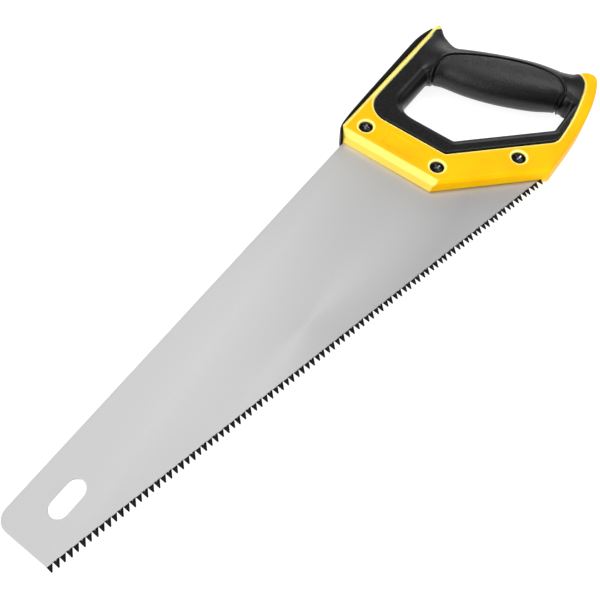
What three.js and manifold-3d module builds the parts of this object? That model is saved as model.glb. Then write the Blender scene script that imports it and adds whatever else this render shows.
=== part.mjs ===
// Hand saw, millimetres, +Z up: the saw lies flat with the blade level.
// Drawing plane: X runs along the blade's straight back from the toe to the handle, Y points away
// from the teeth, and (0, 0) is where the blade's back enters the front edge of the handle.
import * as THREE from 'three';
import { mergeVertices } from 'three/addons/utils/BufferGeometryUtils.js';
import Module from 'manifold-3d';

const wasm = await Module();
wasm.setup();

// ---------- driving dimensions ----------
const GAP = 0.3;                  // clearance between touching pieces

const TOOTH_COUNT = 97;
const TOOTH_PITCH = 3.88;
const TOOTH_DEPTH = 4.1;
const GULLET_PLACE = 0.74;        // share of the pitch from a tip to the gullet on its handle side
const TOOTH_LINE_ANGLE = THREE.MathUtils.degToRad(-12.55);
const BLADE_THICKNESS = 0.9;
const TOE = new THREE.Vector2(-313.6, -42.3);   // tip of the first tooth
const TOE_CORNER_RADIUS = 9;
const BACK_DROP = 0.2;            // how far the blade's back falls from the handle to the toe
const HANG_SLOT = { x: -282.5, y: -22.2, length: 23.6, width: 11.4 };

const CHEEK_HALF = 9;             // half thickness of the yellow handle
const RUBBER_HALF = 9.7;          // half thickness of the black rim around the opening
const GRIP_HALF = 13.5;           // half thickness of the grip at its fullest
const WEB_HALF = 4;               // half thickness of the core inside the rubber
const RUBBER_COVER = 5;           // rubber over the core's edges
// The front bevel's section, [set back, height]: a steep facet, then one at 45 degrees up past the face.
const FRONT_BEVEL = [[0, 0.5], [1.6, 5.6], [5.2, 9.3]];
const EDGE_CHAMFER = 2;
const FRONT_END = -67.6;          // where the front edge turns into the 45 degree edge
const HANDLE_TOP = 6.3;
const HANDLE_BOTTOM = -123.6;
const BUMPER_HALF = 8;
const BUMPER_RIB_HALF = 2.5;

const OPENING_LEFT = 39.3;
const OPENING_CORNER = 15;
const OPENING_TOP = -15.8;
const OPENING_BOTTOM = -109.5;
const OPENING_SLANT = -21.1;      // x + y along the opening's 45 degree edge
const RUBBER_LEFT = 26.7;
const RUBBER_SLANT = -35.1;       // x + y along the rubber's outer 45 degree edge
const RUBBER_TOP = 1.4;
const RUBBER_BOTTOM = -115.2;

const SCREW_PLACES = [[14.2, -7.8], [14.2, -63.2], [53.1, -101.6]];
const SCREW_HEAD_RADIUS = 4.4;
const SCREW_HEAD_HEIGHT = 2.4;
const SCREW_SINK = 0.6;           // screw head's top below the handle's face
const SCREW_SHANK_RADIUS = 2.4;
const HEAD_TOP = CHEEK_HALF - SCREW_SINK;
const HEAD_UNDERSIDE = HEAD_TOP - SCREW_HEAD_HEIGHT;
const NUT_BARREL_RADIUS = 3.3;
const HEAD_CLEARANCE = 0.4;
const HEAD_CHAMFER = 0.8;
const SHANK_END = -4;
const RECESS_ARM = [4.6, 1.0, 1.3];   // cross recess: length, width, depth
const ROUND = 32;                 // facets on a full circle
const FAR = 30;                   // past the handle's faces, for cuts that go right through

// The grip runs across the handle from a foot in the lower beam up to the horn.
const GRIP = { foot: -116, top: 8, rows: 26, around: 28, fullestAt: -52, fade: 46, squareness: 0.9 };
const GRIP_END_HALF = 9.3;        // half thickness of the grip at its foot and at the horn

const COLOURS = {
  steel: 0xb9bbbd, yellow: 0xf9c80e, rubber: 0x242425, sleeve: 0x303031, screw: 0x1b1b1d,
};

// ---------- outlines ----------
const point = (x, y) => new THREE.Vector2(x, y);
const points = (...pairs) => pairs.map(([x, y]) => point(x, y));

// The outline anticlockwise, without the points that lie in the middle of a straight side.
function anticlockwise(outline) {
  const bends = outline.filter((here, i) => {
    const before = outline[(i + outline.length - 1) % outline.length];
    const after = outline[(i + 1) % outline.length];
    return Math.abs(here.clone().sub(before).cross(after.clone().sub(here))) > 1e-6;
  });
  return THREE.ShapeUtils.isClockWise(bends) ? bends.reverse() : bends;
}

function arc(x, y, radius, fromDegrees, toDegrees, steps = 6) {
  const list = [];
  for (let i = 0; i <= steps; i++) {
    const angle = THREE.MathUtils.degToRad(fromDegrees + (toDegrees - fromDegrees) * i / steps);
    list.push(point(x + radius * Math.cos(angle), y + radius * Math.sin(angle)));
  }
  return list;
}

function smooth(list, steps) {
  return new THREE.SplineCurve(list).getPoints(steps);
}

// Moves every side of a closed outline inwards; a negative distance moves it outwards.
function inset(outline, distance) {
  const list = anticlockwise(outline);
  return list.map((here, i) => {
    const before = list[(i + list.length - 1) % list.length];
    const after = list[(i + 1) % list.length];
    const into = here.clone().sub(before).normalize();
    const out = after.clone().sub(here).normalize();
    const normal = point(-into.y - out.y, into.x + out.x).normalize();
    const stretch = Math.min(1 / Math.max(normal.dot(point(-into.y, into.x)), 0.5), 2);
    return here.clone().addScaledVector(normal, distance * stretch);
  });
}

const onSlant = (x, slant) => point(x, slant - x);

// A round corner from a level bottom edge into the 45 degree edge where x + y equals slant.
function slantArc(bottom, slant, radius, steps) {
  const y = bottom + radius;
  return arc(slant - y + radius * Math.SQRT2, y, radius, -90, -135, steps);
}

// ---------- solids ----------
function toSolid(geometry) {
  const bare = geometry.clone();
  bare.deleteAttribute('normal');
  bare.deleteAttribute('uv');
  const merged = mergeVertices(bare, 1e-5);
  return new wasm.Manifold(new wasm.Mesh({
    numProp: 3,
    vertProperties: new Float32Array(merged.attributes.position.array),
    triVerts: new Uint32Array(merged.index.array),
  }));
}

function toGeometry(solid) {
  const mesh = solid.getMesh();
  const geometry = new THREE.BufferGeometry();
  geometry.setAttribute('position', new THREE.BufferAttribute(mesh.vertProperties, 3));
  geometry.setIndex(new THREE.BufferAttribute(mesh.triVerts, 1));
  geometry.computeVertexNormals();
  return geometry;
}

const union = (...solids) => solids.reduce((sum, next) => sum.add(next));
const without = (solid, ...cuts) => cuts.reduce((rest, cut) => rest.subtract(cut), solid);

// A straight-sided slab of an outline between two heights.
function slab(outline, low, high) {
  const geometry = new THREE.ExtrudeGeometry(new THREE.Shape(anticlockwise(outline)), {
    depth: high - low, bevelEnabled: false,
  });
  return toSolid(geometry.translate(0, 0, low));
}

const tall = (outline) => slab(outline, -FAR, FAR);

// A closed skin through rings of equally many points, with flat ends.
function skin(rings) {
  const count = rings[0].length;
  const positions = rings.flat().flatMap((p) => [p.x, p.y, p.z]);
  const triangles = [];
  for (let r = 0; r + 1 < rings.length; r++) {
    for (let i = 0; i < count; i++) {
      const a = r * count + i;
      const b = r * count + (i + 1) % count;
      triangles.push(a, b, b + count, a, b + count, a + count);
    }
  }
  const flat = rings[0].map((p) => point(p.u, p.v));
  const cap = THREE.ShapeUtils.triangulateShape(flat, []);
  const last = (rings.length - 1) * count;
  for (const [a, b, c] of cap) {
    triangles.push(a, c, b, last + a, last + b, last + c);
  }
  const geometry = new THREE.BufferGeometry();
  geometry.setAttribute('position', new THREE.Float32BufferAttribute(positions, 3));
  geometry.setIndex(triangles);
  return toSolid(geometry);
}

// A plate whose edges follow a profile of [inset, height] from mid height up, the same on both faces.
function plate(outline, profile) {
  const levels = [...profile.slice(1).map(([d, z]) => [d, -z]).reverse(), ...profile];
  const rings = levels.map(([d, z]) => inset(outline, d)
    .map((p) => ({ x: p.x, y: p.y, z, u: p.x, v: p.y })));
  return skin(rings);
}

function peg(radius, low, high, x = 0, y = 0) {
  const geometry = new THREE.CylinderGeometry(radius, radius, high - low, ROUND);
  return toSolid(geometry.rotateX(Math.PI / 2).translate(x, y, (low + high) / 2));
}

// ---------- blade ----------
function toothLine(n) {
  const along = n * TOOTH_PITCH;
  return point(TOE.x + along * Math.cos(TOOTH_LINE_ANGLE), TOE.y + along * Math.sin(TOOTH_LINE_ANGLE));
}

const BLADE_TANG = points([57, -118], [60, -112], [66, -104], [66, -97], [30, -61], [30, -4], [26, 0]);

function bladeOutline() {
  const upward = point(-Math.sin(TOOTH_LINE_ANGLE), Math.cos(TOOTH_LINE_ANGLE));
  const teeth = [];
  for (let n = 0; n < TOOTH_COUNT; n++) {
    teeth.push(toothLine(n), toothLine(n + GULLET_PLACE).addScaledVector(upward, TOOTH_DEPTH));
  }
  const radius = TOE_CORNER_RADIUS;
  const corner = arc(TOE.x + radius, -BACK_DROP - radius, radius, 90, 180);
  return [...teeth, ...BLADE_TANG, ...corner];
}

function hangSlotOutline() {
  const { x, y, length, width } = HANG_SLOT;
  const reach = (length - width) / 2;
  return [...arc(x + reach, y, width / 2, -90, 90, 10), ...arc(x - reach, y, width / 2, 90, 270, 10)];
}

function makeBlade() {
  const half = BLADE_THICKNESS / 2;
  const holes = SCREW_PLACES.map(([x, y]) => peg(NUT_BARREL_RADIUS + GAP, -FAR, FAR, x, y));
  return without(slab(bladeOutline(), -half, half), tall(hangSlotOutline()), ...holes);
}

function bladeSlot() {
  const blank = [toothLine(0), toothLine(TOOTH_COUNT - 1), ...BLADE_TANG, point(TOE.x, 0)];
  const half = BLADE_THICKNESS / 2 + GAP;
  return slab(inset(blank, -GAP * 1.5), -half, half);
}

// ---------- handle outlines ----------
const FRONT_TOP = [[0, 0.5], [7.6, HANDLE_TOP]];
const NOSE_RADIUS = 8;
// From the heel of the palm round the tail and along the bottom edge to its level part.
const TAIL = points([144, -98.9], [146.5, -100.1], [148.5, -102.2], [149.7, -104.8], [150, -107.5],
  [149, -110], [146.5, -112.2], [142.2, -114.3], [132.1, -117.7], [122.1, -120], [105.4, -122.5],
  [84, HANDLE_BOTTOM]);
const PALM = points([126, 4.5], [121.4, -1], [117.4, -4.8], [115.2, -9.5], [115, -15], [117.3, -21],
  [124.7, -35], [132.7, -52], [138.9, -70], [141.6, -84], [142.6, -89.5], [147.4, -99.5]);

function handleOutline() {
  return [
    ...points(...FRONT_TOP, [121.5, HANDLE_TOP], [125.2, 5.2], [126, 3.2], [124.6, 0.6], [120.8, -2.6]),
    ...points([117.8, -6], [115.6, -10], [110, -20], [122, -45], [130, -78], [136, -97]),
    ...smooth(TAIL, 22),
    ...slantArc(HANDLE_BOTTOM, FRONT_END, NOSE_RADIUS, 3),
    onSlant(0.8, FRONT_END),
    point(0, FRONT_END + 1),
  ];
}

// The finger opening, open on its palm side to the grip's finger side.
const FINGER_SIDE = points([80.5, OPENING_TOP], [86, -18.6], [89.1, -24.5], [90.1, -32], [91.4, -41.7],
  [93.3, -51], [95.7, -60], [99.4, -70.2], [105, -82.4], [110.2, -91.6], [114.8, -99.8], [116, -104]);

function openingOutline() {
  return [
    ...arc(OPENING_LEFT + OPENING_CORNER, OPENING_TOP - OPENING_CORNER, OPENING_CORNER, 180, 90, 6),
    ...smooth(FINGER_SIDE, 26),
    ...arc(112.2, OPENING_BOTTOM + 3.6, 3.6, 10, -90, 4),
    ...slantArc(OPENING_BOTTOM, OPENING_SLANT, 3, 2),
    onSlant(OPENING_LEFT + 0.5, OPENING_SLANT),
    point(OPENING_LEFT, OPENING_SLANT - OPENING_LEFT + 0.8),
  ];
}

// Everything inside this outline is rubber on the handle's faces.
function rubberOutline() {
  return [
    ...arc(RUBBER_LEFT + 15.8, RUBBER_TOP - 15.8, 15.8, 180, 90, 8),
    ...points([112, RUBBER_TOP], [116, 2.4], [119, 2.7], [121.6, 1.2], [124, -1.2], [150, -6], [165, -60]),
    ...points([160, -94], [143.4, -98.8], [142, -101.6], [140, -104.2], [137, -106.6], [131, -108.8]),
    ...points([121, -111.1], [111, -113], [101, -114.3], [91, -115]),
    ...slantArc(RUBBER_BOTTOM, RUBBER_SLANT, 10, 4),
    onSlant(RUBBER_LEFT, RUBBER_SLANT),
  ];
}

// The textured sleeve covers the finger side and most of both faces of the grip.
function sleeveOutline() {
  return [
    ...smooth(points([62, -30], [75.7, -21.2], [83, -17.8], [91, -16.6], [97, -17.4], [102.6, -21.7],
      [113.5, -38.2], [121.5, -54], [126.4, -68], [128.6, -80], [128.4, -89], [125.5, -94.6], [120, -98.6],
      [108, -99.5]), 36),
    point(80, -92),
  ];
}

// ---------- handle solids ----------
const CHEEK_PROFILE = [[0, 0], [0.6, CHEEK_HALF - 1.5], [EDGE_CHAMFER, CHEEK_HALF]];

// The wedges that are missing in front of the front bevel, one on each face.
function frontWedges() {
  const lowest = FRONT_BEVEL[0][1];
  const highest = FRONT_BEVEL[2][1];
  const section = points([-1, lowest], ...FRONT_BEVEL, [-1, highest]);
  const geometry = new THREE.ExtrudeGeometry(new THREE.Shape(section), { depth: 100, bevelEnabled: false });
  const upper = toSolid(geometry.rotateX(Math.PI / 2).translate(0, 20, 0));
  return [upper, upper.mirror([0, 0, 1])];
}

const GRIP_FINGER = points([86, 9], [83, 0], [83, -8], [85.4, -18], [87.4, -25], [89.7, -41.7], [94.7, -60],
  [104.2, -82.4], [112.4, -97], [116.6, -106], [118, -118]);

// Rings across the grip, from its foot up to the horn: an oval between finger side and palm side.
function gripSkin(shrink) {
  const finger = new THREE.SplineCurve(GRIP_FINGER);
  const palm = new THREE.SplineCurve([point(128, 12), ...PALM, point(150, -108), point(153, -118)]);
  const across = (curve, y) => {
    const list = curve.getPoints(80);
    const i = Math.max(1, list.findIndex((p) => p.y <= y));
    const part = (list[i - 1].y - y) / (list[i - 1].y - list[i].y);
    return THREE.MathUtils.lerp(list[i - 1].x, list[i].x, part);
  };
  const rings = [];
  for (let r = 0; r <= GRIP.rows; r++) {
    const y = THREE.MathUtils.lerp(GRIP.foot + shrink, GRIP.top - shrink, r / GRIP.rows);
    const front = across(finger, y) + shrink;
    const rear = across(palm, y) - shrink;
    const fullness = Math.exp(-(((y - GRIP.fullestAt) / GRIP.fade) ** 4));
    const half = THREE.MathUtils.lerp(GRIP_END_HALF, GRIP_HALF, fullness) - shrink;
    const ring = [];
    for (let i = 0; i < GRIP.around; i++) {
      const angle = 2 * Math.PI * i / GRIP.around;
      const round = (value) => Math.sign(value) * Math.abs(value) ** GRIP.squareness;
      const x = (front + rear) / 2 + (rear - front) / 2 * round(Math.cos(angle));
      const z = half * round(Math.sin(angle));
      ring.push({ x, y, z, u: x, v: -z });
    }
    rings.push(ring.reverse());
  }
  return skin(rings);
}

function coreInside(gap) {
  const hidden = inset(handleOutline(), 1.2);
  const ring = without(slab(hidden, -WEB_HALF - gap, WEB_HALF + gap),
    tall(inset(openingOutline(), -RUBBER_COVER + gap)));
  const post = gripSkin(RUBBER_COVER - gap).intersect(tall(inset(rubberOutline(), 4 - gap)));
  return union(ring, post);
}

function ribOutline(gap) {
  return inset(points([14, 0], [112, 0], [112, 8.4], [14, 7.6]), -gap);
}

function makeCore() {
  const blank = plate(handleOutline(), CHEEK_PROFILE);
  const cheeks = without(blank, tall(inset(rubberOutline(), -GAP)), ...frontWedges());
  const rib = slab(ribOutline(0), -BUMPER_RIB_HALF, BUMPER_RIB_HALF).subtract(tall(rubberOutline()));
  const counterboreRadius = SCREW_HEAD_RADIUS + HEAD_CLEARANCE;
  const seat = HEAD_UNDERSIDE - GAP;
  const bores = SCREW_PLACES.flatMap(([x, y]) => [
    peg(NUT_BARREL_RADIUS + GAP, -FAR, FAR, x, y),
    peg(counterboreRadius, seat, FAR, x, y),
    peg(counterboreRadius, -FAR, -seat, x, y),
  ]);
  const hidden = coreInside(0).intersect(tall(handleOutline()));
  return without(union(cheeks, hidden, rib), bladeSlot(), ...bores);
}

function makeRubber() {
  const blank = plate(handleOutline(), [[0, 0], [0.6, RUBBER_HALF - 2], [EDGE_CHAMFER, RUBBER_HALF]]);
  const roundEdge = [[0, 0], [0, RUBBER_HALF - 4], [-0.6, RUBBER_HALF - 2.2], [-1.9, RUBBER_HALF - 0.6],
    [-4, RUBBER_HALF + 1]];
  const opening = plate(openingOutline(), roundEdge);
  const rim = without(blank, opening);
  return union(rim, gripSkin(0)).intersect(tall(rubberOutline())).subtract(coreInside(GAP));
}

function makeOvermould() {
  return makeRubber().subtract(tall(inset(sleeveOutline(), -GAP / 2)));
}

function makeSleeve() {
  return makeRubber().intersect(tall(inset(sleeveOutline(), GAP / 2)));
}

function makeBumper() {
  const outline = points([-1.6, 1.4], [2.4, 4.8], [7.2, 7.2], [15.6, 8.3], [26, 8.9], [45, 9.5], [85, 10.4],
    [100, 10.7], [107, 10.4], [113, 9.5], [118, 8.2], [123.1, 6.5], [122, 2], [104, -10], [20, -10], [5, -6]);
  const rounded = plate(outline, [[0, 0], [0.4, 4], [1.3, 6.6], [2.6, BUMPER_HALF]]);
  const inside = inset(handleOutline(), -GAP);
  return without(rounded, tall(inside), slab(ribOutline(GAP), -BUMPER_RIB_HALF - GAP, BUMPER_RIB_HALF + GAP));
}

// ---------- fasteners ----------
function crossRecess(top) {
  const [length, width, depth] = RECESS_ARM;
  const arm = new THREE.BoxGeometry(length, width, depth * 2).translate(0, 0, top);
  return union(toSolid(arm), toSolid(arm.clone().rotateZ(Math.PI / 2)));
}

function turned(profile) {
  const geometry = new THREE.LatheGeometry(points(...profile), ROUND);
  return toSolid(geometry.rotateX(Math.PI / 2));
}

function makeScrew() {
  const body = turned([[0, SHANK_END], [SCREW_SHANK_RADIUS, SHANK_END], [SCREW_SHANK_RADIUS, HEAD_UNDERSIDE],
    [SCREW_HEAD_RADIUS, HEAD_UNDERSIDE], [SCREW_HEAD_RADIUS, HEAD_TOP - HEAD_CHAMFER],
    [SCREW_HEAD_RADIUS - HEAD_CHAMFER, HEAD_TOP], [0, HEAD_TOP]]);
  return body.subtract(crossRecess(HEAD_TOP));
}

function makeSleeveNut() {
  const barrelEnd = HEAD_UNDERSIDE - GAP;
  const body = turned([[0, -HEAD_TOP], [SCREW_HEAD_RADIUS - HEAD_CHAMFER, -HEAD_TOP],
    [SCREW_HEAD_RADIUS, HEAD_CHAMFER - HEAD_TOP], [SCREW_HEAD_RADIUS, -HEAD_UNDERSIDE],
    [NUT_BARREL_RADIUS, -HEAD_UNDERSIDE], [NUT_BARREL_RADIUS, barrelEnd], [0, barrelEnd]]);
  return without(body, peg(SCREW_SHANK_RADIUS + GAP, SHANK_END - GAP, FAR), crossRecess(-HEAD_TOP));
}

// ---------- assembly ----------
const saw = new THREE.Group();

function addPart(name, solid, colour, roughness, metalness, place = [0, 0]) {
  const material = new THREE.MeshStandardMaterial({ color: colour, roughness, metalness });
  const mesh = new THREE.Mesh(toGeometry(solid), material);
  mesh.name = name;
  mesh.position.set(place[0], place[1], 0);
  saw.add(mesh);
}

addPart('blade', makeBlade(), COLOURS.steel, 0.35, 1);
addPart('handle_core', makeCore(), COLOURS.yellow, 0.4, 0);
addPart('grip_overmould', makeOvermould(), COLOURS.rubber, 0.7, 0);
addPart('grip_sleeve', makeSleeve(), COLOURS.sleeve, 0.85, 0);
addPart('spine_bumper', makeBumper(), COLOURS.rubber, 0.7, 0);
SCREW_PLACES.forEach((place, i) => {
  addPart(`handle_screw_${i + 1}`, makeScrew(), COLOURS.screw, 0.35, 0.8, place);
  addPart(`sleeve_nut_${i + 1}`, makeSleeveNut(), COLOURS.screw, 0.35, 0.8, place);
});

// The whole saw sits with the middle of its box over the origin and its lowest face at z = 0.
const box = new THREE.Box3().setFromObject(saw);
const centre = box.getCenter(new THREE.Vector3());
saw.position.set(-centre.x, -centre.y, -box.min.z);

const group = new THREE.Group();
group.add(saw);
export default group;
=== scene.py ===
"""A hand saw with a moulded handle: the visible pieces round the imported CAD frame.

The shapes are drawn in millimetres in the CAD's drawing plane: X runs along the blade's back from the
toe to the handle, Y points away from the teeth, Z is out of the blade, and (0, 0, 0) is where the blade's
back enters the handle. The moulded pieces are signed distance fields that are turned into meshes.
"""

import math

import bpy
import numpy as np
from mathutils import Matrix, Vector
from mathutils.geometry import delaunay_2d_cdt


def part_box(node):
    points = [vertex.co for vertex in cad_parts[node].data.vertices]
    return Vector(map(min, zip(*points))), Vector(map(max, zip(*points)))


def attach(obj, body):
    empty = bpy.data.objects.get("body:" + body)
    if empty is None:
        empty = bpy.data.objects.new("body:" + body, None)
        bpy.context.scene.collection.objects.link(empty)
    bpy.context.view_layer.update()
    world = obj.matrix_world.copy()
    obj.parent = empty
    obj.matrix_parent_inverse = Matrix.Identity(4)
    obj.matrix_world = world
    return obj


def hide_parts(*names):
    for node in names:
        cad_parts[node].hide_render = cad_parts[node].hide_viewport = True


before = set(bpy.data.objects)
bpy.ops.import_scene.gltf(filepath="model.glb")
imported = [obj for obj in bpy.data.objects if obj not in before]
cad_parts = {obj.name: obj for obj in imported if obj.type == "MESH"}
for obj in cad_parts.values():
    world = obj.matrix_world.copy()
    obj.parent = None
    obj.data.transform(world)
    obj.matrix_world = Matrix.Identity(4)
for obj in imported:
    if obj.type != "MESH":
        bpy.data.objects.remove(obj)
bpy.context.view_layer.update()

MM = 0.001

# ---------- dimensions, in millimetres; those that the CAD has too are the same there ----------
GAP = 0.3
TOOTH_COUNT = 97
TOOTH_PITCH = 3.88
TOOTH_DEPTH = 4.1
GULLET_PLACE = 0.74
TOOTH_LINE_ANGLE = math.radians(-12.55)
BLADE_HALF = 0.45
TOE = np.array([-313.6, -42.3])
TOE_CORNER_RADIUS = 9
BACK_DROP = 0.2
HANG_SLOT = {"x": -282.5, "y": -22.2, "length": 23.6, "width": 11.4}

CHEEK_HALF = 9
RUBBER_HALF = 9.7
GRIP_HALF = 13.5
GRIP_END_HALF = 9.3
GRIP_MIDDLE = -52                 # y where the grip is fullest
GRIP_REACH = 46
GRIP_POWER = 2.22                 # 2 would make the grip's section an ellipse
FRONT_END = -67.6
HANDLE_TOP = 6.3
HANDLE_BOTTOM = -123.6
NOSE_RADIUS = 8
BUMPER_HALF = 8
OPENING_LEFT = 39.3
OPENING_CORNER = 15
OPENING_TOP = -15.8
OPENING_BOTTOM = -109.5
OPENING_SLANT = -21.1
RUBBER_LEFT = 26.7
RUBBER_SLANT = -35.1
RUBBER_TOP = 1.4
RUBBER_BOTTOM = -115.2
SCREW_PLACES = [(14.2, -7.8), (14.2, -63.2), (53.1, -101.6)]
SCREW_HEAD_RADIUS = 4.4
SCREW_HEAD_HEIGHT = 2.4
SCREW_SINK = 0.6
SHANK_RADIUS = 2.4
SHANK_END = -4
NUT_BARREL_RADIUS = 3.3
NUT_BARREL_END = -5.7             # as a height above the blade's plane when the nut's head is up
HEAD_TOP = CHEEK_HALF - SCREW_SINK
SCREW_TURNS = [20, 62, -12]       # how far each recess is turned, in degrees
HEAD_EDGE_RADIUS = 0.45
DOME_RISE = 0.35
DOME_FALL = 0.035
RECESS = {"depth": 1.6, "reach": 2.4, "end_slope": 0.9, "half_width": 0.62, "flank_slope": 0.16,
          "cone_radius": 1.25, "cone_slope": 0.7}

blade_low, blade_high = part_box("blade")
ORIGIN = Vector((blade_low[0] - TOE[0] * MM, blade_high[1], (blade_low[2] + blade_high[2]) / 2))


# ---------- outlines ----------
def arc(x, y, radius, start, end, steps=8):
    angles = np.radians(np.linspace(start, end, steps + 1))
    return np.column_stack([x + radius * np.cos(angles), y + radius * np.sin(angles)])


def spline(knots, steps):
    """Points on a smooth curve through the knots."""
    knots = np.asarray(knots, float)
    padded = np.vstack([knots[:1], knots, knots[-1:]])
    place = np.linspace(0, len(knots) - 1, steps + 1)
    span = np.minimum(place.astype(int), len(knots) - 2)
    t = (place - span)[:, None]
    p0, p1, p2, p3 = (padded[span + i] for i in range(4))
    a, b = (p2 - p0) / 2, (p3 - p1) / 2
    return ((2 * p1 - 2 * p2 + a + b) * t**3 + (-3 * p1 + 3 * p2 - 2 * a - b) * t**2 + a * t + p1)


def slant_arc(bottom, slant, radius, steps):
    """A round corner from a level bottom edge into the 45 degree edge where x + y equals slant."""
    y = bottom + radius
    return arc(slant - y + radius * math.sqrt(2), y, radius, -90, -135, steps)


# From the heel of the palm round the tail and along the bottom edge to its level part.
TAIL = [(144, -98.9), (146.5, -100.1), (148.5, -102.2), (149.7, -104.8), (150, -107.5), (149, -110),
        (146.5, -112.2), (142.2, -114.3), (132.1, -117.7), (122.1, -120), (105.4, -122.5),
        (84, HANDLE_BOTTOM)]


def handle_outline():
    return np.vstack([
        [(0, 0.5), (7.6, HANDLE_TOP), (121.5, HANDLE_TOP), (123.9, 5.9), (125.2, 5.1), (126, 3.2)],
        [(124.6, 0.6), (120.8, -2.6), (117.8, -6), (115.6, -10), (110, -20), (122, -45), (130, -78)],
        [(136, -97)],
        spline(TAIL, 60),
        slant_arc(HANDLE_BOTTOM, FRONT_END, NOSE_RADIUS, 6),
        [(0, FRONT_END)],
    ])


# The opening's finger side, sunk into the grip so that rim and grip blend only at its two ends.
FINGER_SIDE = [(80.5, OPENING_TOP), (87, -19), (93, -25), (100, -34), (105, -50), (110, -64), (115, -80),
               (118, -92), (119, -102)]
PALM = [(128, 12), (126, 4.5), (121.4, -1), (117.4, -4.8), (115.2, -9.5), (115, -15), (117.3, -21),
        (124.7, -35), (132.7, -52), (138.9, -70), (141.6, -84), (142.6, -89.5), (147.4, -99.5), (150, -108),
        (153, -118)]
GRIP_FINGER = [(86, 9), (83, 0), (83, -8), (85.4, -18), (87.4, -25), (89.7, -41.7), (94.7, -60),
               (104.2, -82.4), (112.4, -97), (116.6, -106), (118, -118)]


def opening_outline():
    return np.vstack([
        arc(OPENING_LEFT + OPENING_CORNER, OPENING_TOP - OPENING_CORNER, OPENING_CORNER, 180, 90, 12),
        spline(FINGER_SIDE, 40),
        arc(114, OPENING_BOTTOM + 3.4, 3.4, 20, -90),
        slant_arc(OPENING_BOTTOM, OPENING_SLANT, 3, 4),
        arc(OPENING_LEFT + 1.6, OPENING_SLANT - OPENING_LEFT + 0.66, 1.6, 225, 180, 4),
    ])


def rubber_outline():
    return np.vstack([
        arc(RUBBER_LEFT + 15.8, RUBBER_TOP - 15.8, 15.8, 180, 90, 14),
        spline([(112, RUBBER_TOP), (116, 2.4), (119, 2.7), (121.6, 1.2), (124, -1.2)], 16),
        [(150, -6), (165, -60), (160, -94)],
        spline([(143.4, -98.8), (142, -101.6), (140, -104.2), (137, -106.6), (131, -108.8), (121, -111.1),
                (111, -113), (101, -114.3), (91, -115)], 32),
        slant_arc(RUBBER_BOTTOM, RUBBER_SLANT, 10, 8),
        arc(RUBBER_LEFT + 3, RUBBER_SLANT - RUBBER_LEFT + 1.24, 3, 225, 180, 4),
    ])


def sleeve_outline():
    return np.vstack([
        spline([(62, -30), (75.7, -21.2), (83, -17.8), (91, -16.6), (97, -17.4), (102.6, -21.7),
                (113.5, -38.2), (121.5, -54), (126.4, -68), (128.6, -80), (128.4, -89), (125.5, -94.6),
                (120, -98.6), (108, -99.5)], 72),
        [(80, -92)],
    ])


def bumper_outline():
    return np.vstack([
        spline([(-1.6, 1.4), (2.4, 4.8), (7.2, 7.2), (15.6, 8.3), (26, 8.9), (45, 9.5), (85, 10.4),
                (100, 10.7), (107, 10.4), (113, 9.5), (118, 8.2), (123.1, 6.5)], 48),
        [(124, 2), (104, -10), (20, -10), (5, -6)],
    ])


# ---------- distance fields ----------
def exact_distance(x, y, outline):
    """How far each point is outside a closed outline; negative inside it."""
    flat_x, flat_y = x.ravel(), y.ravel()
    start, end = outline, np.roll(outline, -1, axis=0)
    side = end - start
    length_squared = np.maximum((side**2).sum(axis=1), 1e-12)
    result = np.empty(flat_x.shape)
    chunk = 6000
    for first in range(0, len(flat_x), chunk):
        px = flat_x[first:first + chunk, None] - start[:, 0]
        py = flat_y[first:first + chunk, None] - start[:, 1]
        along = np.clip((px * side[:, 0] + py * side[:, 1]) / length_squared, 0, 1)
        nearest = ((px - along * side[:, 0])**2 + (py - along * side[:, 1])**2).min(axis=1)
        straddles = (py < 0) != (py < side[:, 1])
        with np.errstate(divide="ignore", invalid="ignore"):
            left = px < side[:, 0] * py / side[:, 1]
        inside = (straddles & left).sum(axis=1) % 2 == 1
        result[first:first + chunk] = np.where(inside, -1, 1) * np.sqrt(nearest)
    return result.reshape(x.shape)


class Plan:
    """The distance to a closed outline, worked out once on a fine grid and read between its points."""

    corners = np.array([-14, -138]), np.array([164, 22])
    spacing = 0.25

    def __init__(self, outline):
        self.low, high = self.corners
        count = ((high - self.low) / self.spacing).astype(int) + 2
        xs, ys = (self.low[a] + self.spacing * np.arange(count[a]) for a in (0, 1))
        self.values = exact_distance(*np.meshgrid(xs, ys, indexing="ij"), outline)

    def __call__(self, x, y):
        u, v = (x - self.low[0]) / self.spacing, (y - self.low[1]) / self.spacing
        i = np.clip(u.astype(int), 0, self.values.shape[0] - 2)
        j = np.clip(v.astype(int), 0, self.values.shape[1] - 2)
        u, v = u - i, v - j
        near = self.values[i, j] * (1 - v) + self.values[i, j + 1] * v
        far = self.values[i + 1, j] * (1 - v) + self.values[i + 1, j + 1] * v
        return near * (1 - u) + far * u


def smooth_max(a, b, blend):
    near = np.clip(1 - np.abs(a - b) / blend, 0, None)
    return np.maximum(a, b) + near * near * blend / 4


def smooth_min(a, b, blend):
    return -smooth_max(-a, -b, blend)


def rounded(a, b, radius):
    """Two faces that meet in an outward round of that radius."""
    u, v = a + radius, b + radius
    return np.minimum(np.maximum(u, v), 0) + np.hypot(np.maximum(u, 0), np.maximum(v, 0)) - radius


def step_up(value, low, high):
    t = np.clip((value - low) / (high - low), 0, 1)
    return t * t * (3 - 2 * t)


def facet(back, height, first, second):
    """Distance to a sloping face through two points of a section, each (set back, height)."""
    run, rise = second[0] - first[0], second[1] - first[1]
    return ((height - first[1]) * run - (back - first[0]) * rise) / math.hypot(run, rise)


def two_facets(back, height, section):
    """Distance to an edge's section of three points."""
    return smooth_max(facet(back, height, *section[:2]), facet(back, height, *section[1:]), 0.25)


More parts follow.
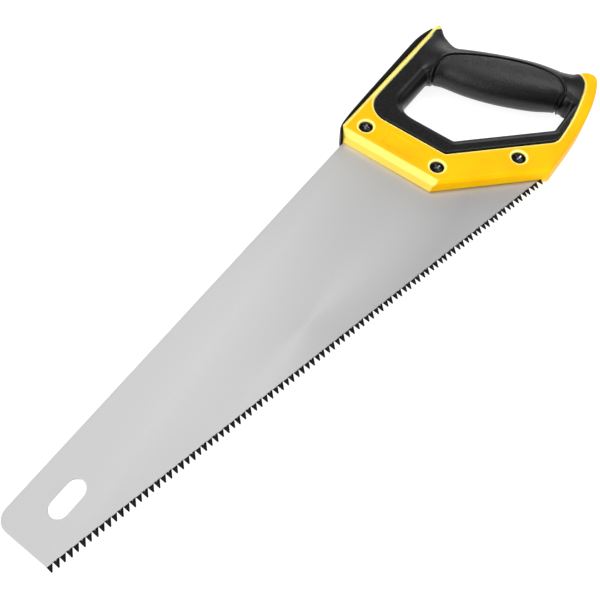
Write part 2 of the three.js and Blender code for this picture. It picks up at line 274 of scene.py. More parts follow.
from_handle = Plan(handle_outline())
from_opening = Plan(opening_outline())
from_rubber = Plan(rubber_outline())
from_sleeve = Plan(sleeve_outline())
from_bumper = Plan(bumper_outline())

# The core's edges in section, as points (set back from the outline, height from the blade's plane).
FRONT_SECTION = [(0, 0.5), (1.6, 5.6), (5, 9.1)]
UPPER_SLANT_SECTION = [(0, 0), (0.6, 6.6), (2.2, 9.1)]
LOWER_SLANT_SECTION = [(0, 0), (2.6, 6.4), (5, 9.1)]
SPINE_SECTION = [(0, 6.3), (2.8, 9.1)]
CORE_EDGE_RADIUS = 2.2
RUBBER_CHAMFER = 1.0              # chamfer on the core along the rubber
SCREW_HOLE_CHAMFER = 0.8
PANEL = {"x": 14.5, "y": -35, "half_width": 5.5, "half_length": 11.5, "depth": 0.5, "soften": 0.35}


def panel_distance(x, y):
    across, along = np.abs(x - PANEL["x"]), np.abs(y - PANEL["y"])
    return np.maximum(across - PANEL["half_width"], along - PANEL["half_length"])


def from_screw(x, y):
    return np.minimum.reduce([np.hypot(x - sx, y - sy) for sx, sy in SCREW_PLACES])


def core_field(x, y, z):
    height = np.abs(z)
    soften = PANEL["soften"]
    sunk = PANEL["depth"] * step_up(-panel_distance(x, y), -soften, soften) * (z > 0)
    face = height - CHEEK_HALF + sunk
    body = rounded(from_handle(x, y), face, CORE_EDGE_RADIUS)
    front = two_facets(x, height, FRONT_SECTION)
    slant = (x + y - FRONT_END) / math.sqrt(2)
    upper, lower = two_facets(slant, z, UPPER_SLANT_SECTION), two_facets(slant, -z, LOWER_SLANT_SECTION)
    spine = facet(HANDLE_TOP - y, height, *SPINE_SECTION)
    for edge in (front, np.where(z > 0, upper, lower), spine):
        body = smooth_max(body, edge, 0.35)
    inner = GAP / 2 - from_rubber(x, y)
    body = smooth_max(body, inner, 0.2)
    body = smooth_max(body, (inner + face + RUBBER_CHAMFER) / math.sqrt(2), 0.3)
    hole = SCREW_HEAD_RADIUS + 0.3 - from_screw(x, y)
    bore = np.minimum(hole, height - HEAD_TOP + SCREW_HEAD_HEIGHT)
    body = smooth_max(body, bore, 0.2)
    return smooth_max(body, (hole + face + SCREW_HOLE_CHAMFER) / math.sqrt(2), 0.25)


def painted_highlight_edges(x, y, z):
    """Painted highlight: how pale the yellow is painted at each point, along the rubber, round the screws
    and on the edges, standing in for the light that catches them.
    """
    height = np.abs(z)
    rim = step_up(height, CHEEK_HALF - 1.3, CHEEK_HALF - 0.6)
    near_rubber = rim * step_up(from_rubber(x, y), 2.0, 1.2)
    near_screws = rim * step_up(from_screw(x, y), SCREW_HEAD_RADIUS + 2.0, SCREW_HEAD_RADIUS + 1.4)
    on_bevel = 0.5 * step_up(facet(x, height, *FRONT_SECTION[1:]), -0.5, -0.1)
    on_front = 0.3 * step_up(facet(x, height, *FRONT_SECTION[:2]), -0.5, -0.1)
    on_spine = 0.7 * step_up(facet(HANDLE_TOP - y, height, *SPINE_SECTION), -0.5, -0.1)
    return np.maximum.reduce([near_rubber, near_screws, on_bevel, on_front, on_spine])


def grip_sides():
    heights = np.linspace(GRIP_FINGER[-1][1], PALM[0][1], 400)
    sides = []
    for knots in (GRIP_FINGER, PALM):
        curve = spline(knots, 200)[::-1]
        sides.append(np.interp(heights, np.maximum.accumulate(curve[:, 1]), curve[:, 0]))
    return heights, *sides


GRIP_HEIGHTS, GRIP_FRONT, GRIP_REAR = grip_sides()
RUBBER_EDGE_RADIUS = 2.6
RIM_RADIUS = 3                    # round of the rim along the opening's front and bottom
BEAM_RIM_RADIUS = 9.3             # and along the beam above the opening
BEAM_TURN = 0.6                   # how far the change between the two leans round the opening's corner
BEAM_CHANGE = (-10, 14)           # where the change starts and ends, from the corner's centre
RIM_LINE = {"place": 2.8, "width": 0.7, "depth": 0.3}
GRIP_BLEND = 3.6
SLEEVE_DEPTH = 0.8
SLEEVE_PROUD = 0.1
GROOVE_OUTSIDE = 0.4              # the parting groove's sides, from the sleeve's outline
GROOVE_INSIDE = 0.45
BEAD = {"place": 1.2, "width": 0.6, "height": 0.6}


def grip_field(x, y, z):
    front = np.interp(y, GRIP_HEIGHTS, GRIP_FRONT)
    rear = np.interp(y, GRIP_HEIGHTS, GRIP_REAR)
    fullness = np.exp(-((y - GRIP_MIDDLE) / GRIP_REACH)**4)
    half = GRIP_END_HALF + (GRIP_HALF - GRIP_END_HALF) * fullness
    deep = (rear - front) / 2
    across, up = np.abs(x - (front + rear) / 2) / deep, np.abs(z) / half
    size = (across**GRIP_POWER + up**GRIP_POWER)**(1 / GRIP_POWER)
    return (size - 1) * np.minimum(deep, half)


def moulding_field(x, y, z):
    """The rubber rim and grip together, before the sleeve is parted from it."""
    height = np.abs(z)
    opening = from_opening(x, y)
    edge = rounded(from_handle(x, y), height - RUBBER_HALF, RUBBER_EDGE_RADIUS)
    corner_x, corner_y = OPENING_LEFT + OPENING_CORNER, OPENING_TOP - OPENING_CORNER
    towards_beam = y - corner_y + BEAM_TURN * np.minimum(x - corner_x, 0)
    radius = RIM_RADIUS + (BEAM_RIM_RADIUS - RIM_RADIUS) * step_up(towards_beam, *BEAM_CHANGE)
    line = RIM_LINE["depth"] * np.exp(-((opening - RIM_LINE["place"]) / RIM_LINE["width"])**2)
    plate = smooth_max(edge, rounded(-opening, height - RUBBER_HALF, radius), 0.8) - line
    body = smooth_min(plate, grip_field(x, y, z), GRIP_BLEND)
    return rounded(body, from_rubber(x, y) + GAP / 2, 0.5)


def overmould_field(x, y, z):
    body = moulding_field(x, y, z)
    sleeve = from_sleeve(x, y)
    bead = BEAD["height"] * np.exp(-((sleeve - BEAD["place"]) / BEAD["width"])**2)
    pocket = smooth_max(sleeve - GROOVE_OUTSIDE, -body - SLEEVE_DEPTH, 0.3)
    return smooth_max(body - bead, -pocket, 0.5)


def sleeve_field(x, y, z):
    body = moulding_field(x, y, z)
    sleeve = from_sleeve(x, y)
    skin = smooth_max(body - SLEEVE_PROUD, sleeve + GROOVE_INSIDE, 1.0)
    return smooth_max(skin, -body - SLEEVE_DEPTH + 0.1, 0.3)


def bumper_field(x, y, z):
    body = rounded(from_bumper(x, y), np.abs(z) - BUMPER_HALF, RUBBER_EDGE_RADIUS)
    return smooth_max(body, GAP / 2 - from_handle(x, y), 0.2)


def arm(along, across, depth_down):
    """One bar of the cross recess, tapering downwards."""
    end = np.abs(along) - RECESS["reach"] + RECESS["end_slope"] * depth_down
    flank = np.abs(across) - RECESS["half_width"] + RECESS["flank_slope"] * depth_down
    return np.maximum(end, flank)


def recess(x, y, depth_down):
    """A cross recess cut into a screw head: two tapered arms and a cone in the middle."""
    arms = np.minimum(arm(x, y, depth_down), arm(y, x, depth_down))
    cone = np.hypot(x, y) - RECESS["cone_radius"] + RECESS["cone_slope"] * depth_down
    return np.maximum(smooth_min(arms, cone, 0.3), depth_down - RECESS["depth"])


def dome(x, y):
    """Height of a head's slightly domed top."""
    return HEAD_TOP + DOME_RISE - DOME_FALL * (x * x + y * y)


def in_recess(x, y, height):
    """1 for points on the walls and floor of a head's recess, 0 elsewhere."""
    return step_up(dome(x, y) - height, 0.15, 0.35) * step_up(-np.hypot(x, y), -3.4, -2.9)


def fastener_field(x, y, height, stem_radius, stem_end):
    """A recessed head on a plain stem, with height counted towards the head."""
    radius = np.hypot(x, y)
    below_top = dome(x, y) - height
    underside = HEAD_TOP - SCREW_HEAD_HEIGHT
    head = rounded(radius - SCREW_HEAD_RADIUS, np.maximum(-below_top, underside - height), HEAD_EDGE_RADIUS)
    stem = np.maximum(radius - stem_radius, np.maximum(height - HEAD_TOP + 1, stem_end - height))
    return smooth_max(np.minimum(head, stem), -recess(x, y, below_top), 0.15)


def screw_field(x, y, z):
    return fastener_field(x, y, z, SHANK_RADIUS, SHANK_END)


def nut_field(x, y, z):
    body = fastener_field(x, y, -z, NUT_BARREL_RADIUS, NUT_BARREL_END)
    return np.maximum(body, np.minimum(SHANK_RADIUS + GAP - np.hypot(x, y), z - SHANK_END + GAP))


# ---------- meshes ----------
def surface_net(field, low, high, cell):
    """A closed quad mesh of the surface where the field is zero, inside a box."""
    axes = [np.arange(a, b + cell, cell) for a, b in zip(low, high)]
    x, y, z = axes[0][:, None, None], axes[1][None, :, None], axes[2][None, None, :]
    values = np.broadcast_to(field(x, y, z), [len(a) for a in axes]).astype(np.float32)
    inside = values < 0
    size = [n - 1 for n in inside.shape]
    corner_steps = [(i, j, k) for i in (0, 1) for j in (0, 1) for k in (0, 1)]
    corners = [inside[i:size[0] + i, j:size[1] + j, k:size[2] + k] for i, j, k in corner_steps]
    full = sum(corner.astype(np.int8) for corner in corners)
    active = (full > 0) & (full < len(corners))
    cells = np.argwhere(active)
    number = np.full(active.shape, -1, np.int32)
    number[active] = np.arange(len(cells))
    total = np.zeros((len(cells), 3))
    crossings = np.zeros(len(cells))
    for first in corner_steps:
        for axis in range(3):
            if first[axis]:
                continue
            second = tuple(1 if a == axis else f for a, f in enumerate(first))
            v0 = values[tuple((cells + first).T)]
            v1 = values[tuple((cells + second).T)]
            crosses = (v0 < 0) != (v1 < 0)
            part = np.where(crosses, v0 / np.where(crosses, v0 - v1, 1), 0)
            place = np.array(first, float)[None] + part[:, None] * (np.array(second) - first)
            total += place * crosses[:, None]
            crossings += crosses
    vertices = np.array(low) + cell * (cells + total / crossings[:, None])
    faces = []
    for axis in range(3):
        u, v = (axis + 1) % 3, (axis + 2) % 3
        before = np.moveaxis(inside, axis, 0)[:-1]
        after = np.moveaxis(inside, axis, 0)[1:]
        edges = np.argwhere(before != after)
        leaves = before[tuple(edges.T)]
        base = np.empty_like(edges)
        others = [a for a in range(3) if a != axis]
        base[:, axis] = edges[:, 0]
        base[:, others[0]] = edges[:, 1]
        base[:, others[1]] = edges[:, 2]
        step_u, step_v = np.eye(3, dtype=int)[u], np.eye(3, dtype=int)[v]
        ring = [number[tuple((base - shift).T)] for shift in (0 * step_u, step_u, step_u + step_v, step_v)]
        quads = np.column_stack(ring)
        quads[~leaves] = quads[~leaves][:, ::-1]
        faces.append(quads)
    return vertices, np.vstack(faces)


def slopes(field, points, reach):
    """The field's gradient at points, from central differences."""
    columns = []
    for axis in range(3):
        shift = np.zeros(3)
        shift[axis] = reach
        ahead, behind = (points + shift).T, (points - shift).T
        columns.append((field(*ahead) - field(*behind)) / (2 * reach))
    return np.column_stack(columns)


def to_row_frame(points):
    return np.asarray(points) * MM + np.array(ORIGIN)


def add_object(name, vertices, faces, materials, smooth=True, normals=None):
    """A mesh object from points in drawing millimetres."""
    mesh = bpy.data.meshes.new(name)
    mesh.from_pydata(to_row_frame(vertices).tolist(), [], [list(map(int, f)) for f in faces])
    mesh.validate()
    mesh.shade_smooth() if smooth else mesh.shade_flat()
    if normals is not None:
        mesh.normals_split_custom_set_from_vertices(normals.tolist())
    for material in materials:
        mesh.materials.append(material)
    obj = bpy.data.objects.new(name, mesh)
    bpy.context.scene.collection.objects.link(obj)
    return obj


def moulded(name, field, low, high, cell, material):
    """A piece whose surface is where its field is zero."""
    points, faces = surface_net(field, low, high, cell)
    for _ in range(2):
        slope = slopes(field, points, 0.05)
        steepness = np.maximum((slope**2).sum(axis=1), 0.1)
        move = field(*points.T) / steepness
        points = points - slope * np.clip(move, -cell, cell)[:, None]
    slope = slopes(field, points, min(0.25, cell / 2))
    normals = slope / np.maximum(np.linalg.norm(slope, axis=1), 1e-6)[:, None]
    return add_object(name, points, faces, [material], normals=normals), points


def paint(obj, name, values):
    """A number at each vertex that the material reads."""
    layer = obj.data.attributes.new(name, "FLOAT", "POINT")
    layer.data.foreach_set("value", np.asarray(values, np.float32))


def place(obj, slot, *nodes):
    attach(obj, "root")
    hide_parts(*nodes)


# ---------- blade ----------
ALONG = np.array([math.cos(TOOTH_LINE_ANGLE), math.sin(TOOTH_LINE_ANGLE)])
INTO = np.array([-math.sin(TOOTH_LINE_ANGLE), math.cos(TOOTH_LINE_ANGLE)])
BEVEL = 1.45                      # width of the ground faces on a tooth's flanks
HARDENED = 3.85                   # height of the black, hardened band from the tips up
LAND = 0.12                       # thickness that is left at a ground edge
TOOTH_SET = 0.12                  # how far each tip is bent out of the blade
TIP_WIDTH = 0.7                   # length of the flat left on a tip
EDGE_BREAK = 0.22                 # how far a sheared edge is rounded
SIDES = (1, -1)                   # the blade's upper and lower face
# The blade's outline from its heel inside the handle to the toe's back, without the teeth.
BACK = np.vstack([
    [(57, -118), (60, -112), (66, -104), (66, -97), (30, -61), (30, -4), (26, 0)],
    arc(TOE[0] + TOE_CORNER_RADIUS, -BACK_DROP - TOE_CORNER_RADIUS, TOE_CORNER_RADIUS, 90, 180, 12),
])


def on_tooth_line(n, share, depth):
    return TOE + (n + share) * TOOTH_PITCH * ALONG + depth * INTO


class Shell:
    """Points and faces gathered one by one; each face is black (hardened) or bright."""

    def __init__(self):
        self.points, self.faces, self.black = [], [], []

    def vertex(self, plan, z):
        self.points.append((plan[0], plan[1], z))
        return len(self.points) - 1

    def both(self, plan):
        """A point on each face of the blade."""
        return {side: self.vertex(plan, side * BLADE_HALF) for side in SIDES}

    def face(self, corners, is_black=False):
        self.faces.append(corners)
        self.black.append(is_black)


def add_tooth(shell, n, left, left_plan, outlines):
    """One tooth, ground on one side and then the other; returns the gullet on its right."""
    ground = 1 if n % 2 else -1          # the side that the bevels are on
    flat_z, ground_z = -ground * BLADE_HALF, ground * BLADE_HALF
    land_z = flat_z + ground * LAND
    lean = -ground * TOOTH_SET
    right_plan, tip_plan = on_tooth_line(n, GULLET_PLACE, TOOTH_DEPTH), on_tooth_line(n, 0, 0)
    right = shell.both(right_plan)

    width = np.linalg.norm(right_plan - left_plan)
    across = (right_plan - left_plan) / width
    left_run = np.linalg.norm(tip_plan - left_plan) / TOOTH_DEPTH
    right_run = np.linalg.norm(tip_plan - right_plan) / TOOTH_DEPTH
    inner_left_plan = left_plan + across * BEVEL * left_run
    inner_right_plan = right_plan - across * BEVEL * right_run
    scale = np.linalg.norm(inner_right_plan - inner_left_plan) / width
    apex_plan = inner_left_plan + (tip_plan - left_plan) * scale

    half_tip = ALONG * TIP_WIDTH / 2
    tip_flat = [shell.vertex(tip_plan + way * half_tip, flat_z + lean) for way in (-1, 1)]
    tip_land = [shell.vertex(tip_plan + way * half_tip, land_z + lean) for way in (-1, 1)]

    def mark(gullet_plan, z):
        """Where the hardened band ends on a flank."""
        share = HARDENED / TOOTH_DEPTH
        return shell.vertex(tip_plan + (gullet_plan - tip_plan) * share, z + lean * (1 - share))

    left_mark, right_mark = mark(left_plan, flat_z), mark(right_plan, flat_z)
    left_land, right_land = shell.vertex(left_plan, land_z), shell.vertex(right_plan, land_z)
    left_mark_land, right_mark_land = mark(left_plan, land_z), mark(right_plan, land_z)
    inner_left = shell.vertex(inner_left_plan, ground_z)
    inner_right = shell.vertex(inner_right_plan, ground_z)
    apex = shell.vertex(apex_plan, ground_z + lean * scale * 0.8)

    shell.face([left_mark, *tip_flat, right_mark], True)
    shell.face([left[-ground], left_mark, right_mark, right[-ground]])
    shell.face([inner_left, apex, inner_right])
    shell.face([left_land, left_mark_land, tip_land[0], apex, inner_left], True)
    shell.face([tip_land[0], tip_land[1], apex], True)
    shell.face([right_land, inner_right, apex, tip_land[1], right_mark_land], True)
    shell.face([left[ground], left_land, inner_left], True)
    shell.face([right[ground], inner_right, right_land], True)
    shell.face([left[-ground], left_land, left_mark_land, left_mark], True)
    shell.face([left_mark, left_mark_land, tip_land[0], tip_flat[0]], True)
    shell.face([tip_flat[0], tip_land[0], tip_land[1], tip_flat[1]], True)
    shell.face([tip_flat[1], tip_land[1], right_mark_land, right_mark], True)
    shell.face([right_mark, right_mark_land, right_land, right[-ground]], True)
    outlines[ground] += [left[ground], inner_left, inner_right]
    outlines[-ground] += [left[-ground]]
    return right, right_plan


def add_teeth(shell):
    """All the teeth; returns the outline that they leave on each side of the blade."""
    outlines = {side: [] for side in SIDES}
    gullet_plan = on_tooth_line(0, -INTO[0] * TOOTH_DEPTH / (ALONG[0] * TOOTH_PITCH), TOOTH_DEPTH)
    gullet = shell.both(gullet_plan)
    for n in range(TOOTH_COUNT):
        gullet, gullet_plan = add_tooth(shell, n, gullet, gullet_plan, outlines)
    for side in SIDES:
        outlines[side].append(gullet[side])
    return outlines


def add_rings(shell, outline, inner):
    """A broken edge's four rings of points, from the lower side up: inner, outline, outline, inner."""
    step = BLADE_HALF - EDGE_BREAK * 0.7
    return [[shell.vertex(p, z) for p in plan]
            for z, plan in ((-BLADE_HALF, inner), (-step, outline), (step, outline), (BLADE_HALF, inner))]


def add_back(shell, outlines):
    """The edge all round apart from the teeth; returns its rings from the lower side up."""
    before, after = np.roll(BACK, 1, axis=0), np.roll(BACK, -1, axis=0)
    before[0], after[-1] = BACK[0] + (-1, -2), BACK[-1] + (0, -1)
    direction = after - before
    normal = np.column_stack([-direction[:, 1], direction[:, 0]])
    normal /= np.linalg.norm(normal, axis=1)[:, None]
    rings = add_rings(shell, BACK, BACK + normal * EDGE_BREAK)
    for a, b in zip(rings, rings[1:]):
        for i in range(len(BACK) - 1):
            shell.face([a[i], a[i + 1], b[i + 1], b[i]])
    for teeth_end, back_end in ((-1, 0), (0, -1)):
        shell.face([outlines[side][teeth_end] for side in SIDES] + [ring[back_end] for ring in rings])
    return rings


def hang_slot_outline():
    reach = (HANG_SLOT["length"] - HANG_SLOT["width"]) / 2
    return np.vstack([
        arc(HANG_SLOT["x"] + reach, HANG_SLOT["y"], HANG_SLOT["width"] / 2, -90, 90, 18),
        arc(HANG_SLOT["x"] - reach, HANG_SLOT["y"], HANG_SLOT["width"] / 2, 90, 270, 18),
    ])


def add_hang_slot(shell, slot):
    away = slot - slot.mean(axis=0)
    away /= np.linalg.norm(away, axis=1)[:, None]
    rings = add_rings(shell, slot, slot + away * EDGE_BREAK)
    for a, b in zip(rings, rings[1:]):
        for i in range(len(slot)):
            j = (i + 1) % len(slot)
            shell.face([a[j], a[i], b[i], b[j]])
    return rings


def fill_side(shell, outline, slot_ring, slot):
    """Triangles over one side of the blade, between its outline and the hang slot."""
    used = outline + slot_ring
    edges, base = [], 0
    for loop in (outline, slot_ring):
        edges += [(base + i, base + (i + 1) % len(loop)) for i in range(len(loop))]
        base += len(loop)
    plan = [Vector(shell.points[i][:2]) for i in used]
    places, _, triangles, _, _, _ = delaunay_2d_cdt(plan, edges, [], 1, 1e-7)
    centres = np.array([sum((places[i] for i in t), Vector((0, 0))) / len(t) for t in triangles])
    for triangle, keep in zip(triangles, exact_distance(*centres.T, slot) > 0):
        if keep:
            shell.face([used[i] for i in triangle])


def make_blade(steel, hardened):
    shell = Shell()
    outlines = add_teeth(shell)
    back = add_back(shell, outlines)
    slot = hang_slot_outline()
    slot_rings = add_hang_slot(shell, slot)
    for side, level in ((1, -1), (-1, 0)):
        fill_side(shell, outlines[side] + back[level], slot_rings[level], slot)
    obj = add_object("saw_blade", shell.points, shell.faces, [steel, hardened], smooth=False)
    obj.data.polygons.foreach_set("material_index", np.array(shell.black, np.int32))
    return obj


# ---------- materials ----------
class Nodes:
    """A short way to write a node tree."""

    def __init__(self, name):
        self.material = bpy.data.materials.new(name)
        self.material.use_nodes = True
        self.tree = self.material.node_tree
        self.shader = self.tree.nodes["Principled BSDF"]
        self.coordinates = self.add("ShaderNodeTexCoord").outputs["Object"]

    def add(self, kind, inputs=None, **settings):
        node = self.tree.nodes.new(kind)
        for key, value in settings.items():
            setattr(node, key, value)
        for key, value in (inputs or {}).items():
            self.feed(node.inputs[key], value)
        return node

    def feed(self, socket, value):
        if isinstance(value, bpy.types.NodeSocket):
            self.tree.links.new(value, socket)
        else:
            socket.default_value = value

    def noise(self, scale, detail=2.0, roughness=0.5, stretch=(1, 1, 1)):
        """Noise with a feature size in the object's metres; scale is in features per metre."""
        mapped = self.add("ShaderNodeMapping", {"Vector": self.coordinates, "Scale": stretch})
        node = self.add("ShaderNodeTexNoise", {
            "Vector": mapped.outputs[0], "Scale": scale, "Detail": detail, "Roughness": roughness})
        return node.outputs["Fac"]

    def along(self, direction):
        """How far a point lies along a direction, in metres."""
        node = self.add("ShaderNodeVectorMath", {0: self.coordinates, 1: direction}, operation="DOT_PRODUCT")
        return node.outputs["Value"]

    def remap(self, value, low, high, to_low, to_high):
        node = self.add("ShaderNodeMapRange", {
            "Value": value, "From Min": low, "From Max": high, "To Min": to_low, "To Max": to_high})
        return node.outputs["Result"]

    def mix(self, factor, a, b):
        node = self.add("ShaderNodeMix", data_type="RGBA")
        self.feed(node.inputs[0], factor)
        self.feed(node.inputs[6], a)
        self.feed(node.inputs[7], b)
        return node.outputs[2]

    def attribute(self, name):
        return self.add("ShaderNodeAttribute", attribute_name=name).outputs["Fac"]

    def bump(self, height, distance_mm, strength, below=None):
        inputs = {"Height": height, "Distance": distance_mm * MM, "Strength": strength}
        if below is not None:
            inputs["Normal"] = below
        return self.add("ShaderNodeBump", inputs).outputs["Normal"]

    def set(self, **inputs):
        for key, value in inputs.items():
            self.feed(self.shader.inputs[key.replace("_", " ")], value)


def rgb(red, green, blue):
    """A linear colour from the 0 to 255 values seen on screen."""
    def linear(v):
        v /= 255
        return v / 12.92 if v <= 0.04045 else ((v + 0.055) / 1.055)**2.4
    return linear(red), linear(green), linear(blue), 1


def yellow_material():
    n = Nodes("yellow_plastic")
    patches = n.remap(n.noise(38, 2), 0.38, 0.66, 0, 1)
    body = n.mix(patches, rgb(248, 192, 6), rgb(248, 182, 5))
    # The 'pale' attribute mixes a painted highlight into the yellow: a pale colour on the edges, along the
    # rubber and round the screw holes.
    n.set(Base_Color=n.mix(n.attribute("pale"), body, rgb(255, 250, 150)),
          Roughness=n.remap(n.noise(900, 2), 0.3, 0.7, 0.36, 0.46),
          IOR=1.5, Specular_IOR_Level=0.07)
    fine = n.bump(n.noise(2600, 2), 0.03, 0.25)
    n.set(Normal=n.bump(n.noise(260, 2), 0.05, 0.2, fine))
    return n.material


def rubber_material(name, base, grain_scale, grain_height, roughness, specular):
    """Moulded rubber with a grain of so many bumps per metre and a height in millimetres."""
    n = Nodes(name)
    mottle = n.remap(n.noise(300, 3), 0.35, 0.65, 0, 1)
    n.set(Base_Color=n.mix(mottle, base, tuple(c * 1.35 for c in base[:3]) + (1,)),
          Roughness=n.remap(n.noise(1500, 2), 0.3, 0.7, roughness - 0.05, roughness + 0.06),
          IOR=1.5, Specular_IOR_Level=specular)
    coarse = n.bump(n.noise(grain_scale, 2, 0.6), grain_height, 0.6)
    n.set(Normal=n.bump(n.noise(grain_scale * 4, 2), grain_height * 0.3, 0.4, coarse))
    return n.material


def steel_material():
    n = Nodes("blade_steel")
    streaks = n.noise(900, 3, 0.6, (0.04, 1, 1))
    # Painted shade: the steel's colour darkens slowly from the toe's back to the heel, in place of the
    # dimmer reflection there.
    to_heel = Vector((0.1, -0.995, 0))
    zero = to_heel.dot(ORIGIN)
    painted_heel_shade = n.remap(n.along(to_heel), zero + 8 * MM, zero + 90 * MM, 0, 1)
    shade = n.mix(painted_heel_shade, rgb(205, 205, 205), rgb(155, 155, 156))
    cloud = n.remap(n.noise(14, 2), 0.3, 0.7, 0, 0.05)
    shade = n.mix(cloud, shade, rgb(190, 190, 192))
    n.set(Base_Color=shade, Metallic=1.0,
          Roughness=n.remap(streaks, 0.3, 0.7, 0.4, 0.45),
          Anisotropic=0.2,
          Normal=n.bump(streaks, 0.0015, 0.2))
    return n.material


def hardened_material():
    """The blue-black scale that is left on the hardened teeth."""
    n = Nodes("hardened_steel")
    stain = n.remap(n.noise(700, 3), 0.35, 0.65, 0, 1)
    n.set(Base_Color=n.mix(stain, rgb(5, 5, 6), rgb(9, 9, 11)),
          Roughness=n.remap(n.noise(2500, 2), 0.3, 0.7, 0.44, 0.58),
          Specular_IOR_Level=0.15,
          Normal=n.bump(n.noise(3000, 2), 0.02, 0.3))
    return n.material


def screw_material():
    """Black oxide, with a painted glint of bright steel colour inside the driver recess."""
    n = Nodes("black_oxide_steel")
    stain = n.remap(n.noise(900, 3), 0.35, 0.65, 0, 1)
    black = n.mix(stain, rgb(16, 15, 17), rgb(34, 32, 36))
    # Painted glint: the recess is coloured bright steel.
    painted_glint_colour = n.mix(stain, rgb(205, 205, 210), rgb(120, 120, 126))
    n.set(Base_Color=n.mix(n.attribute("painted_glint"), black, painted_glint_colour), Metallic=1.0,
          Roughness=n.remap(n.noise(2500, 2), 0.3, 0.7, 0.18, 0.3),
          Normal=n.bump(n.noise(3000, 2), 0.015, 0.3))
    return n.material


YELLOW = yellow_material()
RUBBER_BLACK = rubber_material("black_rubber", rgb(7, 7, 8), grain_scale=1400, grain_height=0.03,
                               roughness=0.3, specular=0.3)
STRIP_BLACK = rubber_material("strip_rubber", rgb(8, 8, 9), grain_scale=1400, grain_height=0.012,
                              roughness=0.36, specular=0.1)
SLEEVE_BLACK = rubber_material("textured_rubber", rgb(7, 7, 7), grain_scale=800, grain_height=0.5,
                               roughness=0.33, specular=0.46)
STEEL = steel_material()
HARDENED_STEEL = hardened_material()
SCREW_BLACK = screw_material()


# ---------- pieces ----------
# Each moulded piece is looked for in a box of drawing space, in cells of the size that follows.
blade = make_blade(STEEL, HARDENED_STEEL)
place(blade, "blade_steel", "blade")

core, at = moulded("handle_core_body", core_field, (-2, -126, -11), (155, 9, 11), 0.6, YELLOW)
# Painted highlight: the core's edges, its rim along the rubber and round the screws are painted pale.
paint(core, "pale", painted_highlight_edges(*at.T))
place(core, "handle_plastic", "handle_core")

overmould, _ = moulded("grip_overmould_body", overmould_field, (25, -117.5, -15), (152, 5.5, 15), 0.6,
                       RUBBER_BLACK)
place(overmould, "grip_rubber", "grip_overmould")

sleeve, _ = moulded("grip_sleeve_skin", sleeve_field, (78, -102, -15), (131, -14, 15), 0.5, SLEEVE_BLACK)
place(sleeve, "sleeve_rubber", "grip_sleeve")

bumper, _ = moulded("spine_bumper_strip", bumper_field, (-4, -2, -9.5), (129, 13, 9.5), 0.55,
                    STRIP_BLACK)
place(bumper, "grip_rubber", "spine_bumper")



def place_fasteners(first, node):
    """Copies of a screw or nut modelled round the drawing's origin, one at each screw place."""
    to_origin = Matrix.Translation(-ORIGIN)
    for i, (x, y) in enumerate(SCREW_PLACES):
        piece = first if i == 0 else first.copy()
        piece.name = f"{node}_head_{i + 1}"
        if i:
            bpy.context.scene.collection.objects.link(piece)
        turn = Matrix.Rotation(math.radians(SCREW_TURNS[i]), 4, "Z")
        piece.matrix_world = Matrix.Translation(ORIGIN + Vector((x, y, 0)) * MM) @ turn @ to_origin
        place(piece, "fastener_steel", f"{node}_{i + 1}")


screw, at = moulded("screw_head_1", screw_field, (-5, -5, -4.6), (5, 5, 9.4), 0.2, SCREW_BLACK)
# Painted glint: the recess walls and floor of each head are painted bright steel.
paint(screw, "painted_glint", in_recess(*at.T))
nut, at = moulded("nut_head_1", nut_field, (-5, -5, -9.4), (5, 5, 6.4), 0.2, SCREW_BLACK)
paint(nut, "painted_glint", in_recess(at[:, 0], at[:, 1], -at[:, 2]))
place_fasteners(screw, "handle_screw")
place_fasteners(nut, "sleeve_nut")


# ---------- floor, light and camera ----------
FLOOR_REACH = 4                   # metres from the middle to an edge


def add_floor():
    mesh = bpy.data.meshes.new("floor")
    corners = [(x * FLOOR_REACH, y * FLOOR_REACH, 0) for x, y in ((-1, -1), (1, -1), (1, 1), (-1, 1))]
    mesh.from_pydata(corners, [], [(0, 1, 2, 3)])
    n = Nodes("pale_floor")
    n.set(Base_Color=(0.3, 0.3, 0.3, 1), Roughness=0.9, Specular_IOR_Level=0.1,
          Emission_Color=(1, 1, 1, 1), Emission_Strength=0.88)
    mesh.materials.append(n.material)
    floor = bpy.data.objects.new("floor", mesh)
    bpy.context.scene.collection.objects.link(floor)


def add_light(name, place_at, aim, size, power, seen_in_reflections=True):
    data = bpy.data.lights.new(name, "AREA")
    data.shape = "RECTANGLE"
    data.size, data.size_y = size
    data.energy = power
    light = bpy.data.objects.new(name, data)
    light.location = place_at
    light.rotation_euler = (Vector(aim) - Vector(place_at)).to_track_quat("-Z", "Y").to_euler()
    light.visible_glossy = seen_in_reflections
    bpy.context.scene.collection.objects.link(light)


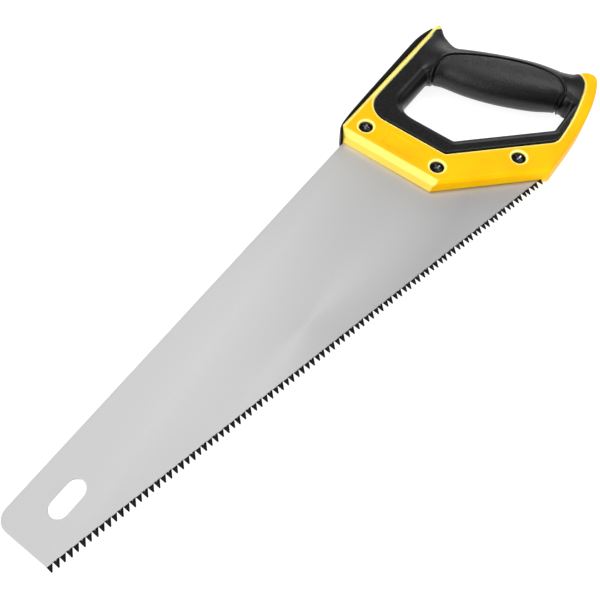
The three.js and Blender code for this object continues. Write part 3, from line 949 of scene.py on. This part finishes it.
def add_world():
    world = bpy.data.worlds.new("studio")
    world.use_nodes = True
    tree = world.node_tree
    direction = tree.nodes.new("ShaderNodeTexCoord").outputs["Generated"]

    def lobe(aim, low, high, to_low, to_high):
        """A soft glow of the sky round one direction."""
        dot = tree.nodes.new("ShaderNodeVectorMath")
        dot.operation = "DOT_PRODUCT"
        tree.links.new(direction, dot.inputs[0])
        dot.inputs[1].default_value = Vector(aim).normalized()
        ramp = tree.nodes.new("ShaderNodeMapRange")
        ramp.interpolation_type = "SMOOTHSTEP"
        tree.links.new(dot.outputs["Value"], ramp.inputs["Value"])
        for key, value in (("From Min", low), ("From Max", high), ("To Min", to_low), ("To Max", to_high)):
            ramp.inputs[key].default_value = value
        return ramp.outputs["Result"]

    def combine(operation, a, b):
        node = tree.nodes.new("ShaderNodeMath")
        node.operation = operation
        tree.links.new(a, node.inputs[0])
        if isinstance(b, bpy.types.NodeSocket):
            tree.links.new(b, node.inputs[1])
        else:
            node.inputs[1].default_value = b
        return node.outputs[0]

    strength = lobe(*SKY[0])
    for part in SKY[1:]:
        strength = combine("ADD", strength, lobe(*part))
    background = tree.nodes["Background"]
    background.inputs["Color"].default_value = (1, 1, 1, 1)
    tree.links.new(combine("MAXIMUM", strength, 0.0), background.inputs["Strength"])
    bpy.context.scene.world = world


# The sky's parts: direction, cosines where the glow starts and is full, strength before and after.
SKY = [
    ((1, 0, 0), 0.3, 0.8, 1.12, 0.2),
    ((-0.79, 0.27, 0.54), 0.9, 0.98, 0.0, 2.5),
    ((-0.58, -0.6, 0.55), 0.5, 0.88, 0.0, -0.95),
    ((0.43, -0.12, 0.89), 0.96, 0.995, 0.0, 5.4),
    ((0.76, 0.5, 0.42), 0.965, 0.99, 0.0, 1.6),
    ((0.64, 0.22, 0.73), 0.955, 0.99, 0.0, -0.5),
    ((0.3, 0.9, 0.3), 0.75, 0.95, 0.0, -0.8),
]
CAMERA_PLACE = (-308.2, -181.0, 421.8)
CAMERA_RIGHT = Vector((0.5938, -0.8044, 0.0203))
CAMERA_FORWARD = Vector((0.4019, 0.2747, -0.8735))
FOCAL_LENGTH_MM = 48.72


def add_camera():
    data = bpy.data.cameras.new("camera")
    data.sensor_width = 36
    data.lens = FOCAL_LENGTH_MM
    data.clip_end = 20
    camera = bpy.data.objects.new("camera", data)
    forward = CAMERA_FORWARD.normalized()
    right = (CAMERA_RIGHT - CAMERA_RIGHT.dot(forward) * forward).normalized()
    up = right.cross(forward)
    turn = Matrix((right, up, -forward)).transposed().to_4x4()
    camera.matrix_world = Matrix.Translation(ORIGIN + Vector(CAMERA_PLACE) * MM) @ turn
    bpy.context.scene.collection.objects.link(camera)
    bpy.context.scene.camera = camera


add_floor()
add_world()
add_light("overhead", (0.1, 0, 1.5), (0.1, 0, 0), (2, 2), 4, seen_in_reflections=False)
add_light("back", (1.4, 0.5, 0.45), (0.15, 0, 0), (1.0, 0.35), 2.5)
add_light("fill", (-1.1, -0.7, 0.3), (0.1, -0.05, 0), (1.0, 0.4), 9, seen_in_reflections=False)
add_camera()
bpy.context.scene.view_settings.view_transform = "Standard"
